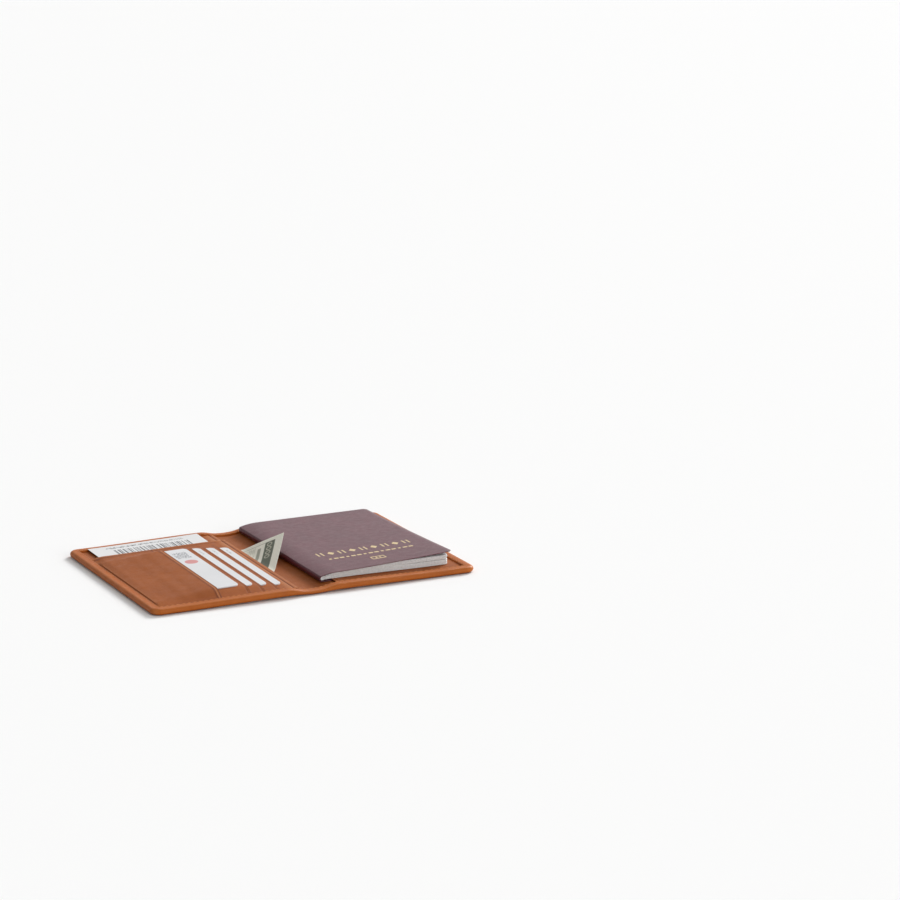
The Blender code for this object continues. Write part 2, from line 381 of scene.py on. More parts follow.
def rim_painted_shading(x, y, z):
    """Painted shade in the crease behind the rim and on the lower part of the roll, where shade falls, and
    a painted highlight along its rounded edge.
    """
    inset = np.minimum(HALF_WIDTH - np.abs(x), HALF_DEPTH - np.abs(y))
    above = z > LEATHER
    # Painted shade in the crease behind the rim
    crease = 0.55 * line(inset - STITCH_INSET, 0.32 * MM) * above
    # Painted highlight along the rim's rounded edge
    painted_crown_highlight = -0.35 * line(inset - 1.6 * MM, 1.0 * MM) * above
    # Painted shade low on the roll, near the table
    under = 0.8 * smooth((1.3 * MM - z) / (1.3 * MM))
    return crease + painted_crown_highlight + under


def lining_top(x, y):
    thick = low("banknote").z - HOVER
    thin = high("lining_spine").z + HOVER
    return thin + (thick - thin) * fullness(x) + lift(x)


def lining_half(name, side):
    limit = low("banknote_pocket").x if side < 0 else high("passport_sleeve").x
    offsets = places(np.arange(0, BEND_ZONE, 1 * MM), np.linspace(BEND_ZONE, abs(limit - SPINE_X), 16))
    xs = np.sort(SPINE_X + side * offsets)
    edge_y = HALF_DEPTH - CREASE_WIDTH + TUCK
    return slab(name, xs, spread(-edge_y, edge_y, 5 * MM), lining_top, SKIN, edge=0.0)


# ---------------------------------------------------------------- left pockets

CARDS = (4, 3, 2, 1)


def pocket_level(y):
    """Top of the pass pocket's leather before anything lies in the slots."""
    return low("pass_pocket").z + THIN + CLIMB * (y - POCKET_FRONT)


def across(number, x):
    """How far a card in its slot raises what lies on it, along X: leather slopes off past its left end."""
    before, width = (0.45 * MM, 0.4 * MM) if number == 1 else (4 * MM, 15 * MM)
    return smooth((x - low(f"card_{number}").x + before) / width)


def along(number, y):
    ends = low(f"card_{number}").y, high(f"card_{number}").y
    return smooth((y - ends[0] + 9 * MM) / (9 * MM)) * smooth((ends[1] + 10 * MM - y) / (10 * MM))


def settled_level(x, y):
    """The pass pocket's top where it is drawn down to the crease at the left."""
    left = low("banknote_pocket").x
    share = smooth((x - left) / (low("boarding_pass").x - left))
    return SEWN_LEVEL + (pocket_level(y) - SEWN_LEVEL) * share


def strip_start(number):
    """Left end of the leather strip over a card: the strips end under the blank panel."""
    return low(f"card_{number}").x - 2.5 * MM


def strips(numbers, x, y):
    """Thickness of the strips below a place, faded towards the front hem, where they are sewn down."""
    over = sum(smooth((x - strip_start(n)) / (3 * MM)) for n in numbers)
    return STRIP_STEP * over * smooth((y - POCKET_FRONT) / (5 * MM))


def rise(numbers, x, y):
    return CARD_THICK * sum(across(n, x) * along(n, y) for n in numbers)


def pass_pocket_top(x, y):
    back = high("pass_pocket").y
    right = high("pass_pocket").x
    lines = groove(right - SEAM - x) + groove(right - PRESSED - x) * 0.6
    lines = lines + groove(back - BACK_SEAM - y)
    return settled_level(x, y) + lift(x) + lines


def slot_top(number):
    """Height of the leather strip that covers a card."""
    below = [n for n in CARDS if n >= number]
    right = high(f"card_slot_{number}").x if number > 1 else high("top_card_pocket").x

    def top(x, y):
        thick = THIN if number == 1 else 0.0
        lines = groove(right - STRIP_LINE - x, 0.14 * MM)
        level = settled_level(x, y) + lift(x) + strips(below, x, y) + rise(below, x, y)
        return level + thick * smooth((y - POCKET_FRONT) / (3 * MM)) + lines + 2 * HOVER

    return top


def card_top(number):
    """Cards rest on the strips and the cards below them, and bend down a little at their hidden end."""
    below = [n for n in CARDS if n > number]

    def top(x, y):
        stack = CARD_THICK * sum(across(n, x) for n in below) + strips(below, x, 0.0)
        return settled_level(x, y) + lift(x) + stack + HOVER + CARD_THICK

    return top


def pocket_painted_shading(x, y, z):
    """Painted highlights along two pressed lines beside the right edge, painted shade in the seam between
    them and along the right edge, and painted shade and a painted highlight at the fold at the back.
    """
    right, back = high("pass_pocket").x, high("pass_pocket").y
    pressed = -0.8 * line(right - 3.9 * MM - x) - 0.8 * line(right - 0.7 * MM - x)
    seam = 0.8 * line(right - 2.9 * MM - x) + 0.7 * line(right - x, 0.2 * MM)
    fold = 0.5 * line(back - 3.4 * MM - y, 0.6 * MM) - 0.6 * line(back - y, 0.6 * MM)
    return pressed + seam + fold


def strip_painted_shading(x, right):
    # Painted shade along the strip's right edge and in its pressed line
    return 1.0 * line(right - x, 0.35 * MM) + 0.45 * line(right - 1.5 * MM - x, 0.3 * MM)


def top_painted_shading(x, y, z):
    """The blank panel: painted shade along its right and back edges, a painted highlight and painted shade
    beside its pressed line, painted shade at the front hem and painted light by the left hem.
    """
    node = "top_card_pocket"
    right, back = high(node).x, high(node).y
    edges = 1.0 * line(right - x, 0.6 * MM) + 0.9 * line(back - y, 0.9 * MM)
    pressed = -0.8 * line(right - 1.3 * MM - x, 0.45 * MM) + 0.7 * line(right - 2.4 * MM - x, 0.45 * MM)
    # Painted shade along the front hem; the painted light near the left hem offsets the shade of the steep
    # leather there
    hems = 0.3 * line(y - low(node).y, 0.8 * MM) - 0.3 * line(x - low(node).x - 0.8 * MM, 0.7 * MM)
    return edges + pressed + hems


def left_pockets(materials):
    (left, right), (front, back) = sides("banknote_pocket")
    base_top = high("banknote_pocket").z

    def pocket(name, xs, ys, top, thickness, painted_shading, node):
        piece = slab(name, xs, ys, top, thickness)
        paint_crease_shading(piece, painted_shading)
        finish_piece(piece, "left_panel", materials["inner"], "inner_leather", node)

    def base(x, y):
        lines = groove(right - SEAM - x) + groove(right - PRESSED - x) * 0.6
        return base_top + lift(x) + lines

    xs = spread(left - TUCK, right, 4 * MM, extra=(right - SEAM, right - PRESSED))
    ys = spread(front - TUCK, back + TUCK, 5 * MM)
    pocket("banknote_pocket_leather", xs, ys, base, THIN, pocket_painted_shading, "banknote_pocket")

    pass_back = high("pass_pocket").y
    ys = spread(front - TUCK, pass_back, 3 * MM, extra=(pass_back - BACK_SEAM,))
    pocket("pass_pocket_leather", xs, ys, pass_pocket_top, THIN, pocket_painted_shading, "pass_pocket")

    for number in (4, 3, 2):
        node = f"card_slot_{number}"
        strip_right = high(node).x
        xs = spread(strip_start(number), strip_right, 2.5 * MM, extra=(strip_right - STRIP_LINE,))
        ys = spread(front - TUCK, high(node).y, 2 * MM)
        # Painted shade along each strip's edge and pressed line
        painted_shading = lambda x, y, z, right=strip_right: strip_painted_shading(x, right)
        pocket(f"card_slot_leather_{number}", xs, ys, slot_top(number), STRIP_STEP, painted_shading, node)

    node = "top_card_pocket"
    xs = spread(left - TUCK, high(node).x, 2 * MM, extra=(high(node).x - STRIP_LINE,))
    ys = spread(front - TUCK, high(node).y, 2 * MM)
    pocket("top_card_leather", xs, ys, slot_top(1), THIN, top_painted_shading, node)


def finish_piece(thing, body, material, slot, *nodes):
    dress(thing, material)
    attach(thing, body)
    if nodes:
        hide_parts(*nodes)


def cards(materials):
    for number in CARDS:
        node = f"card_{number}"
        x, y = sides(node)
        xs = spread(x[0], x[1], 3 * MM, edge=0.15 * MM)
        ys = places(spread(y[0], y[1], 6 * MM, edge=0.15 * MM), corner_rows(y, CARD_CORNER))
        corners = rounded(x, y, CARD_CORNER, CARD_CORNER)
        card = slab(f"bank_card_{number}", xs, ys, card_top(number), CARD_THICK, corners, 0.1 * MM)
        finish_piece(card, node, materials[node], "card_plastic", node)


def boarding_pass(materials):
    node = "boarding_pass"
    x, y = sides(node)

    def top(gx, gy):
        plane = low(node).z + CLIMB * (gy - y[0])
        right, back = (gx - x[1] + 18 * MM) / (18 * MM), (gy - y[1] + 25 * MM) / (25 * MM)
        return plane + PASS_THICK + lift(gx) + 0.25 * MM * smooth(right) * smooth(back)

    xs, ys = spread(x[0], x[1], 4 * MM), spread(y[0], y[1], 5 * MM)
    paper = slab("boarding_pass_paper", xs, ys, top, PASS_THICK)
    finish_piece(paper, node, materials["pass"], "pass_paper", node)


NOTE_SIZE = (66 * MM, 78 * MM)
NOTE_TIP = Vector((13.0 * MM, 8.6 * MM, 16.0 * MM))
NOTE_TURN = math.radians(-36.6)
NOTE_BEND_RADIUS = 8 * MM
NOTE_CLIMB = math.radians(33.2)
NOTE_THICK = 0.12 * MM


def note_curve(flat_x):
    """(x, z, angle) of the note's section: flat in its pocket, a round bend, then a straight climb."""
    start = high("banknote_pocket").x
    bottom = low("banknote").z + lift(start) + NOTE_THICK
    past = max(flat_x - start, 0.0)
    angle = min(past / NOTE_BEND_RADIUS, NOTE_CLIMB)
    straight = max(past - NOTE_BEND_RADIUS * NOTE_CLIMB, 0.0)
    x = min(flat_x, start) + NOTE_BEND_RADIUS * math.sin(angle) + straight * math.cos(angle)
    z = bottom + NOTE_BEND_RADIUS * (1 - math.cos(angle)) + straight * math.sin(angle)
    return x, z, angle


def banknote(materials):
    """A note tucked into the rear pocket, whose free corner stands up over the spine."""
    tip_x = high("banknote_pocket").x
    while note_curve(tip_x)[0] < NOTE_TIP.x:
        tip_x += 0.05 * MM
    width, length = NOTE_SIZE
    us = spread(-width, 0.0, 1.2 * MM, edge=0.05 * MM)
    vs = spread(-length, 0.0, 1.6 * MM, edge=0.05 * MM)
    note = slab("banknote_paper", us, vs, lambda u, v: 0.0 * u, NOTE_THICK, edge=0.0)
    turn = Matrix.Rotation(NOTE_TURN, 2)
    for axis, name in ((1, "print_u"), (0, "print_v")):
        layer = note.data.attributes.new(name, "FLOAT", "POINT")
        layer.data.foreach_set("value", [-v.co[axis] for v in note.data.vertices])
    for vertex in note.data.vertices:
        thick = vertex.co.z
        flat = turn @ vertex.co.xy
        x, z, angle = note_curve(tip_x + flat.x)
        free = min(max((x - NOTE_TIP.x + 20 * MM) / (20 * MM), 0.0), 1.0)
        off = thick + 0.5 * MM * math.sin(flat.y / (9 * MM)) * free
        vertex.co = (x - math.sin(angle) * off, NOTE_TIP.y + flat.y, z + math.cos(angle) * off)
    dress(note, materials["note"])
    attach(note, "banknote")
    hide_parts("banknote")
    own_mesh(note)


# ---------------------------------------------------------------- passport

BOOK_X = low("passport_spine").x
BOOK_Y = sides("passport_spine")[1]
BOOK_RIGHT = high("passport_front_cover").x
BOOK_CORNER = 3.0 * MM
BOOK_COVER = 0.45 * MM
BOARD_EDGE = 0.18 * MM
SPINE_TOP = 6.4 * MM
COVER_FLAT = high("passport_front_cover").z
SHOULDER = 13 * MM
TIP_RISE = 3.5 * MM


def book_top(x, y):
    """Top of the front cover: round at the spine, flat, and curled up at the near right corner."""
    away = np.clip((x - BOOK_X) / SHOULDER, 0.0, 1.0)
    body = SPINE_TOP + (COVER_FLAT - SPINE_TOP) * (1 - (1 - away) ** 2.2)
    span = np.clip((x - BOOK_X - SHOULDER) / (BOOK_RIGHT - BOOK_X - SHOULDER), 0.0, 1.0)
    near = np.clip((BOOK_Y[1] - y) / (BOOK_Y[1] - BOOK_Y[0]), 0.0, 1.0)
    return body + TIP_RISE * span**1.35 * near**1.6


def passport(materials):
    cover = materials["book"]
    x = (BOOK_X + 0.2 * MM, BOOK_RIGHT)
    inner = [BOOK_X + s * MM for s in (0.2, 0.4, 0.7, 1.1, 1.6, 2.2, 3, 4, 5, 6.5, 8, 10, 12, 14)]
    xs = places(inner, np.linspace(BOOK_X + 16 * MM, BOOK_RIGHT, 30), [BOOK_RIGHT - 0.2 * MM])
    ys = places(spread(BOOK_Y[0], BOOK_Y[1], 4 * MM, 0.2 * MM), corner_rows(BOOK_Y, BOOK_CORNER))
    corners = rounded(x, BOOK_Y, 0.0, BOOK_CORNER)
    front = slab("passport_front_board", xs, ys, book_top, BOOK_COVER, corners, BOARD_EDGE)
    dress(front, cover)
    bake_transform(front)
    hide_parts("passport_front_cover")

    marks = gold_marks()
    dress(marks, materials["gold"])
    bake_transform(marks)

    spine = book_spine()
    # The fold wears the shaded copy of the cloth, as painted shade
    finish_piece(spine, "passport", materials["fold"], "booklet_cover", "passport_spine")

    def back_top(gx, gy):
        rest = FOLD_REST * (1 - smooth((gx - BOOK_X) / (5 * MM)))
        return high("passport_back_cover").z + lift(gx) + rest

    back = slab("passport_back_board", xs, ys, back_top, BOOK_COVER, corners, BOARD_EDGE)
    finish_piece(back, "passport", cover, "booklet_cover", "passport_back_cover")
    pages(materials)


TITLE = ((24 * MM, -21 * MM), (81.7 * MM, -21.3 * MM))
TITLE_MARKS = 9
SECOND_ROW = 11.5 * MM
EMBLEM = (52.5 * MM, -44 * MM)
FOIL = 0.03 * MM


def gold_marks():
    """Foil marks that say nothing: a row of bars and lozenges, a finer row of dashes and a small frame."""
    (x0, y0), (x1, y1) = TITLE
    along_row = Vector((x1 - x0, y1 - y0)).normalized()
    up = Vector((-along_row.y, along_row.x))
    outlines = []

    def lozenge(place, run, rise):
        half = along_row * run / 2, up * rise / 2
        outlines.append([place - half[0], place - half[1], place + half[0], place + half[1]])

    def bar(place, run, rise):
        half = along_row * run / 2, up * rise / 2
        outlines.append([place - half[0] - half[1], place + half[0] - half[1],
                         place + half[0] + half[1], place - half[0] + half[1]])

    row = Vector((x1 - x0, y1 - y0)).length
    for mark in range(TITLE_MARKS):
        place = Vector((x0, y0)) + along_row * row * mark / (TITLE_MARKS - 1)
        if mark % 2:
            lozenge(place, 4.6 * MM, 6.4 * MM)
        else:
            for offset in (-1.5, 1.5):
                bar(place + along_row * offset * MM, 1.0 * MM, 6.4 * MM)
    for dash in range(15):
        place = Vector((x0, y0)) - up * SECOND_ROW + along_row * (row * (dash + 0.5) / 15)
        bar(place, (2.9 if dash % 3 else 1.7) * MM, 2.0 * MM)
    middle = Vector(EMBLEM)
    for side in (-1, 1):
        bar(middle + up * side * 2.2 * MM, 9 * MM, 1.0 * MM)
        bar(middle + along_row * side * 4.2 * MM, 0.7 * MM, 3.6 * MM)
        bar(middle + along_row * side * 1.2 * MM, 0.9 * MM, 2.4 * MM)
    points, faces = [], []
    for outline in outlines:
        start = len(points)
        for level in (FOIL, -FOIL):
            points += [(p.x, p.y, float(book_top(p.x, p.y)) + level) for p in outline]
        faces += [tuple(start + k for k in range(4)), tuple(start + 7 - k for k in range(4))]
        for k in range(4):
            following = (k + 1) % 4
            faces.append((start + k, start + following, start + 4 + following, start + 4 + k))
    return make_object("gold_marks", points, faces)


FOLD_REST = 0.25 * MM


def book_spine():
    """The cloth that turns round the fold of the booklet."""
    bottom = high("passport_back_cover").z - BOOK_COVER / 2 + float(lift(BOOK_X)) + FOLD_REST
    top = SPINE_TOP - BOOK_COVER / 2
    middle, radius = (top + bottom) / 2, (top - bottom) / 2
    points, faces = [], []
    ys = np.linspace(BOOK_Y[0] + 0.05 * MM, BOOK_Y[1] - 0.05 * MM, 30)
    turns = [math.pi / 2 + math.pi * k / 14 for k in range(15)]
    half = BOOK_COVER / 2
    for y in ys:
        loop = [(radius + half, a) for a in turns] + [(radius - half, a) for a in turns[::-1]]
        for r, a in loop:
            points.append((BOOK_X + 0.75 * MM + 0.6 * r * math.cos(a), y, middle + r * math.sin(a)))
    count = 2 * len(turns)
    for j in range(len(ys) - 1):
        for k in range(count):
            a, b = j * count + k, j * count + (k + 1) % count
            faces.append((a, b, b + count, a + count))
    last = (len(ys) - 1) * count
    for start in (0, last):
        for k in range(len(turns) - 1):
            faces.append((start + k, start + k + 1, start + count - 2 - k, start + count - 1 - k))
    return make_object("passport_fold", points, faces)


PAGE_COUNT = 12
PAGE_REACH = 1.3 * MM
PAGE_CURL = 1.5 * MM
NOSE = 1.3 * MM
FAN_LEAF = 7
FAN_GAP = 0.35 * MM


def page_levels(x, y):
    """Lowest and highest level of the leaves: pinched at the fold and opened under the lifted cover."""
    wide = smooth((x - BOOK_X) / SHOULDER) ** 0.6
    flat = smooth((x - BOOK_X) / (4.3 * MM))
    bottom = high("passport_sleeve").z + lift(x) + 0.2 * MM
    top = np.minimum(book_top(x, y), COVER_FLAT + PAGE_CURL) - BOOK_COVER - 0.12 * MM
    fold_bottom = high("passport_back_cover").z + lift(BOOK_X) + FOLD_REST + 0.05 * MM
    fold_top = SPINE_TOP - BOOK_COVER - 0.05 * MM
    return fold_bottom + (bottom - fold_bottom) * flat, fold_top + (top - fold_top) * wide


def leaf_top(leaf, x, y):
    """Upper face of one group of leaves; one gap in the fan stands open towards the near right corner."""
    bottom, top = page_levels(x, y)
    level = bottom + (top - bottom) * (leaf + 1) / PAGE_COUNT
    if leaf < FAN_LEAF:
        near = smooth((x - BOOK_X - 35 * MM) / (50 * MM)) * smooth((BOOK_Y[1] - y) / (110 * MM))
        level = level - FAN_GAP * near * (leaf + 1) / FAN_LEAF
    return level


def pages(materials):
    """Leaves of the booklet in thin groups, fanned slightly apart under the lifted cover."""
    x = (BOOK_X + 0.9 * MM, high("passport_pages").x + PAGE_REACH)
    y = (low("passport_pages").y - 0.4 * MM, high("passport_pages").y + 0.4 * MM)
    rng = np.random.default_rng(7)
    stack = []
    for leaf in range(PAGE_COUNT):
        height = 2 * (leaf + 0.5) / PAGE_COUNT - 1
        start = x[0] - 0.4 * MM + NOSE * (1 - math.sqrt(1 - height * height))
        end = (start, x[1] + rng.uniform(-0.4, 0.25) * MM)
        ends = (y[0] + rng.uniform(0.0, 0.25) * MM, y[1] - rng.uniform(0.0, 0.25) * MM)

        def top(gx, gy, leaf=leaf):
            return leaf_top(leaf, gx, gy)

        def thick(gx, gy, leaf=leaf):
            bottom, ceiling = page_levels(gx, gy)
            return 0.86 * (ceiling - bottom) / PAGE_COUNT

        near_fold = [start + s * MM for s in (0, 0.5, 1, 2, 3.5, 5, 7, 9, 12)]
        xs = np.unique(np.round(near_fold + list(np.linspace(start + 15 * MM, end[1], 18)), 7))
        ys = list(spread(ends[0], ends[1], 8 * MM, 0.1 * MM)) + corner_rows(ends, BOOK_CORNER)
        corners = rounded(end, ends, 0.0, BOOK_CORNER)
        stack.append(slab(f"leaf_{leaf}", xs, np.unique(np.round(ys, 7)), top, thick, corners, 0.02 * MM))
    leaves = join("passport_leaves", stack)
    finish_piece(leaves, "passport", materials["page"], "booklet_paper", "passport_pages")


def join(name, things):
    """One object of several meshes."""
    merged = bmesh.new()
    for thing in things:
        merged.from_mesh(thing.data)
        bpy.data.objects.remove(thing, do_unlink=True)
    mesh = bpy.data.meshes.new(name)
    merged.to_mesh(mesh)
    merged.free()
    return show_mesh(name, mesh)


def sleeve(materials):
    node = "passport_sleeve"
    x = (low(node).x, high(node).x + TUCK)
    y = (low(node).y - TUCK, high(node).y + TUCK)
    pressed_x = x[0] + 1.6 * MM

    def top(gx, gy):
        near_mouth = 1 - smooth((gx - x[0]) / (12 * MM))
        near_front = 1 - smooth((gy - y[0] - 6 * MM) / (14 * MM))
        gape = 0.2 * MM * near_mouth * near_front * smooth((gy - y[0]) / (4 * MM))
        return high(node).z + lift(gx) + gape + groove(gx - pressed_x, 0.12 * MM)

    xs = spread(x[0], x[1], 4 * MM, extra=(pressed_x,))
    leather = slab("passport_sleeve_leather", xs, spread(y[0], y[1], 4 * MM), top, THIN)
    finish_piece(leather, "right_panel", materials["inner"], "inner_leather", node)


# ---------------------------------------------------------------- stitching

STITCH_PITCH = 3.4 * MM
STITCH_LENGTH = 2.5 * MM
STITCH_RADIUS = 0.23 * MM
STITCH_RISE = 0.09 * MM
STITCH_SINK = 0.16 * MM
STITCH_INSET = 5.3 * MM


def stitch(points, faces, place, direction):
    """One visible length of thread: a capsule that dips into the leather at both ends."""
    side = direction.cross(Vector((0, 0, 1))).normalized()
    start = len(points)
    rings, around = 5, 6
    for ring in range(rings):
        share = ring / (rings - 1)
        fat = STITCH_RADIUS * (0.55 + 0.45 * math.sin(math.pi * share))
        sink = STITCH_SINK * (1 - math.sin(math.pi * share))
        middle = place + direction * (share - 0.5) * STITCH_LENGTH - Vector((0, 0, sink))
        for k in range(around):
            turn = 2 * math.pi * k / around
            points.append(middle + side * math.cos(turn) * fat + Vector((0, 0, math.sin(turn) * fat)))
    for ring in range(rings - 1):
        for k in range(around):
            a, b = start + ring * around + k, start + ring * around + (k + 1) % around
            faces.append((a, b, b + around, a + around))
    last = start + (rings - 1) * around
    faces.append(tuple(range(start, start + around)))
    faces.append(tuple(range(last, last + around)))


def rim_stitches(name, side, material):
    """Stitches along the crease inside the rim, on one half of the organizer."""
    x_edge = side * (HALF_WIDTH - STITCH_INSET)
    y_edge = HALF_DEPTH - STITCH_INSET
    route = ((SPINE_X, -y_edge), (x_edge, -y_edge), (x_edge, y_edge), (SPINE_X, y_edge))
    corners = [Vector((x, y, 0)) for x, y in route]
    points, faces = [], []
    for start, end in zip(corners, corners[1:]):
        length = (end - start).length
        count = int(length / STITCH_PITCH)
        direction = (end - start).normalized()
        for k in range(count):
            place = start + direction * (k + 0.5) * length / count
            share = (STITCH_INSET - LIP_WIDTH) / (CREASE_WIDTH - LIP_WIDTH)
            crease = RIM_TOP - LIP_DROP - (CREASE_DROP - LIP_DROP) * float(smooth(share))
            place.z = cover_height(crease, place.x) + STITCH_RISE
            stitch(points, faces, place, direction)
    thread = make_object(name, points, faces)
    dress(thread, material)
    return thread


# ---------------------------------------------------------------- materials


NOISE_ROUGHNESS = 0.55


class Shader:
    """A node tree that is built up call by call."""

    def __init__(self, name):
        self.material = bpy.data.materials.new(name)
        self.material.use_nodes = True
        self.tree = self.material.node_tree
        self.principled = self.tree.nodes["Principled BSDF"]
        self.coordinates = self.add("ShaderNodeTexCoord").outputs["Object"]

    def add(self, kind, **settings):
        node = self.tree.nodes.new(kind)
        for key, value in settings.items():
            setattr(node, key, value)
        return node

    def link(self, source, target):
        self.tree.links.new(source, target)

    def value(self, **inputs):
        for key, value in inputs.items():
            self.principled.inputs[key.replace("_", " ")].default_value = value

    def noise(self, scale, detail=3.0):
        node = self.add("ShaderNodeTexNoise")
        node.inputs["Scale"].default_value = scale
        node.inputs["Detail"].default_value = detail
        node.inputs["Roughness"].default_value = NOISE_ROUGHNESS
        self.link(self.coordinates, node.inputs["Vector"])
        return node.outputs["Fac"]

    def cells(self, scale):
        node = self.add("ShaderNodeTexVoronoi", feature="F1")
        node.inputs["Scale"].default_value = scale
        self.link(self.coordinates, node.inputs["Vector"])
        return node.outputs["Distance"]

    def ramp(self, source, stops):
        node = self.add("ShaderNodeValToRGB")
        elements = node.color_ramp.elements
        elements[0].position, elements[0].color = stops[0][0], stops[0][1]
        elements[1].position, elements[1].color = stops[-1][0], stops[-1][1]
        for position, color in stops[1:-1]:
            element = elements.new(position)
            element.color = color
        self.link(source, node.inputs["Fac"])
        return node.outputs["Color"]

    def span(self, source, start, end, low_value=0.0, high_value=1.0):
        node = self.add("ShaderNodeMapRange")
        keys = ("From Min", "From Max", "To Min", "To Max")
        for key, value in zip(keys, (start, end, low_value, high_value)):
            node.inputs[key].default_value = value
        self.link(source, node.inputs["Value"])
        return node.outputs["Result"]

    def math(self, operation, first, second=None):
        node = self.add("ShaderNodeMath", operation=operation)
        for socket, value in zip(node.inputs, (first, second)):
            if value is None:
                continue
            if isinstance(value, (int, float)):
                socket.default_value = value
            else:
                self.link(value, socket)
        return node.outputs["Value"]

    def mix(self, factor, first, second, blend_type="MIX"):
        node = self.add("ShaderNodeMix", data_type="RGBA", blend_type=blend_type)
        if isinstance(factor, (int, float)):
            node.inputs["Factor"].default_value = factor
        else:
            self.link(factor, node.inputs["Factor"])
        for key, value in (("A", first), ("B", second)):
            socket = [s for s in node.inputs if s.name == key and s.type == "RGBA"][0]
            if isinstance(value, tuple):
                socket.default_value = value
            else:
                self.link(value, socket)
        return [s for s in node.outputs if s.type == "RGBA"][0]

    def bump(self, height, distance):
        node = self.add("ShaderNodeBump")
        node.inputs["Distance"].default_value = distance
        node.inputs["Strength"].default_value = 1.0
        self.link(height, node.inputs["Height"])
        return node.outputs["Normal"]

    def color(self, source):
        self.link(source, self.principled.inputs["Base Color"])

    def specular(self, amount):
        self.principled.inputs["Specular IOR Level"].default_value = amount

    def times(self, first, second):
        return self.math("MULTIPLY", first, second)

    def wave(self, source, length):
        """A sine along a coordinate; length is one full wave in metres."""
        return self.math("SINE", self.times(source, 2 * math.pi / length))

    def rough(self, source):
        self.link(source, self.principled.inputs["Roughness"])

    def normal(self, source):
        self.link(source, self.principled.inputs["Normal"])

    def axes(self):
        node = self.add("ShaderNodeSeparateXYZ")
        self.link(self.coordinates, node.inputs["Vector"])
        return node.outputs["X"], node.outputs["Y"], node.outputs["Z"]

    def inside(self, source, start, end, soft=0.1 * MM):
        """1 between two places and 0 outside."""
        rising = self.span(source, start - soft, start + soft)
        falling = self.span(source, end - soft, end + soft, 1.0, 0.0)
        return self.times(rising, falling)

    def square(self, source, middle):
        return self.math("POWER", self.math("ABSOLUTE", self.math("SUBTRACT", source, middle)), 2.0)

    def box(self, x, x_range, y, y_range, soft=0.1 * MM):
        return self.times(self.inside(x, *x_range, soft), self.inside(y, *y_range, soft))


def rgb(r, g, b):
    return (r, g, b, 1.0)


LEATHER_SPECULAR = 0.13
# Tone for painted shade in creases, grooves, along edges and low on the rim's roll
PAINTED_SHADE_TONE = (0.34, 0.24, 0.20, 1.0)
# Tone for painted highlights on rounded edges and beside pressed lines
PAINTED_HIGHLIGHT_TONE = (0.26, 0.13, 0.07, 1.0)


def leather(name, base, shade, rough_range, grain, depth):
    """Fine-grained leather: blotches in its colour, pebble grain and small pores, darkened by painted shade
    and lightened by painted highlights as the point attribute 'crease' gives.
    """
    shader = Shader(name)
    blotch = shader.noise(55.0, 4.0)
    fine = shader.noise(420.0, 3.0)
    tone = shader.math("ADD", shader.times(blotch, 0.65), shader.times(fine, 0.35))
    plain = shader.ramp(tone, [(0.30, shade), (0.68, base)])
    # The attribute carries painted shade, multiplied in, and painted highlights, screened in
    crease = shader.add("ShaderNodeAttribute", attribute_name="crease").outputs["Fac"]
    dark = shader.mix(shader.span(crease, 0.0, 1.0), plain, PAINTED_SHADE_TONE, "MULTIPLY")
    light = shader.mix(shader.span(crease, 0.0, -1.0), dark, PAINTED_HIGHLIGHT_TONE, "SCREEN")
    shader.color(light)
    shader.rough(shader.span(shader.noise(180.0, 2.0), 0.3, 0.7, *rough_range))
    shader.specular(LEATHER_SPECULAR)
    pebbles = shader.cells(grain)
    pores = shader.noise(grain * 2.3, 2.0)
    height = shader.math("ADD", shader.times(pebbles, 0.7), shader.times(pores, 0.45))
    shader.normal(shader.bump(height, depth))
    return shader.material


# Leathers and thread: name, colour, darker colour, roughness range, grain per metre, depth of the grain
LEATHERS = {
    "cover": ("cover_leather", rgb(0.47, 0.125, 0.018), rgb(0.38, 0.092, 0.012),
              (0.38, 0.52), 1300.0, 0.16 * MM),
    "inner": ("inner_leather", rgb(0.37, 0.100, 0.018), rgb(0.30, 0.076, 0.012),
              (0.44, 0.58), 1500.0, 0.13 * MM),
    "lining": ("lining_leather", rgb(0.33, 0.088, 0.016), rgb(0.26, 0.066, 0.010),
               (0.50, 0.62), 1700.0, 0.08 * MM),
    "thread": ("sewing_thread", rgb(0.68, 0.30, 0.12), rgb(0.55, 0.22, 0.08),
               (0.6, 0.7), 4000.0, 0.05 * MM),
}


def make_materials():
    made = {key: leather(*values) for key, values in LEATHERS.items()}
    made["book"] = book_material("booklet_cloth", 0.8)
    # The fold's copy of the cloth has less specular, as painted shade
    made["fold"] = book_material("booklet_cloth_shaded_fold", 0.25)
    made["page"] = page_material()
    made["gold"] = gold_material()
    made["board"] = board_material()
    made["pass"] = pass_material()
    made["note"] = note_material()
    for number in CARDS:
        made[f"card_{number}"] = card_material(number)
    return made


def book_material(name, specular):
    """Dark red book cloth. The fold gets a copy with less specular, which makes it darker as painted shade
    where it faces away from the light; it mirrors less of the room than the flat covers.
    """
    shader = Shader(name)
    tone = shader.noise(90.0, 4.0)
    shader.color(shader.ramp(tone, [(0.3, rgb(0.095, 0.013, 0.026)), (0.7, rgb(0.120, 0.018, 0.034))]))
    shader.rough(shader.span(shader.noise(260.0, 2.0), 0.3, 0.7, 0.34, 0.44))
    shader.specular(specular)
    shader.normal(shader.bump(shader.cells(2600.0), 0.05 * MM))
    return shader.material


def gold_material():
    shader = Shader("gold_foil")
    stops = [(0.3, rgb(0.66, 0.50, 0.26)), (0.7, rgb(0.80, 0.64, 0.36))]
    shader.color(shader.ramp(shader.noise(700.0), stops))
    shader.rough(shader.span(shader.noise(900.0), 0.3, 0.7, 0.35, 0.5))
    shader.value(Metallic=0.35)
    return shader.material


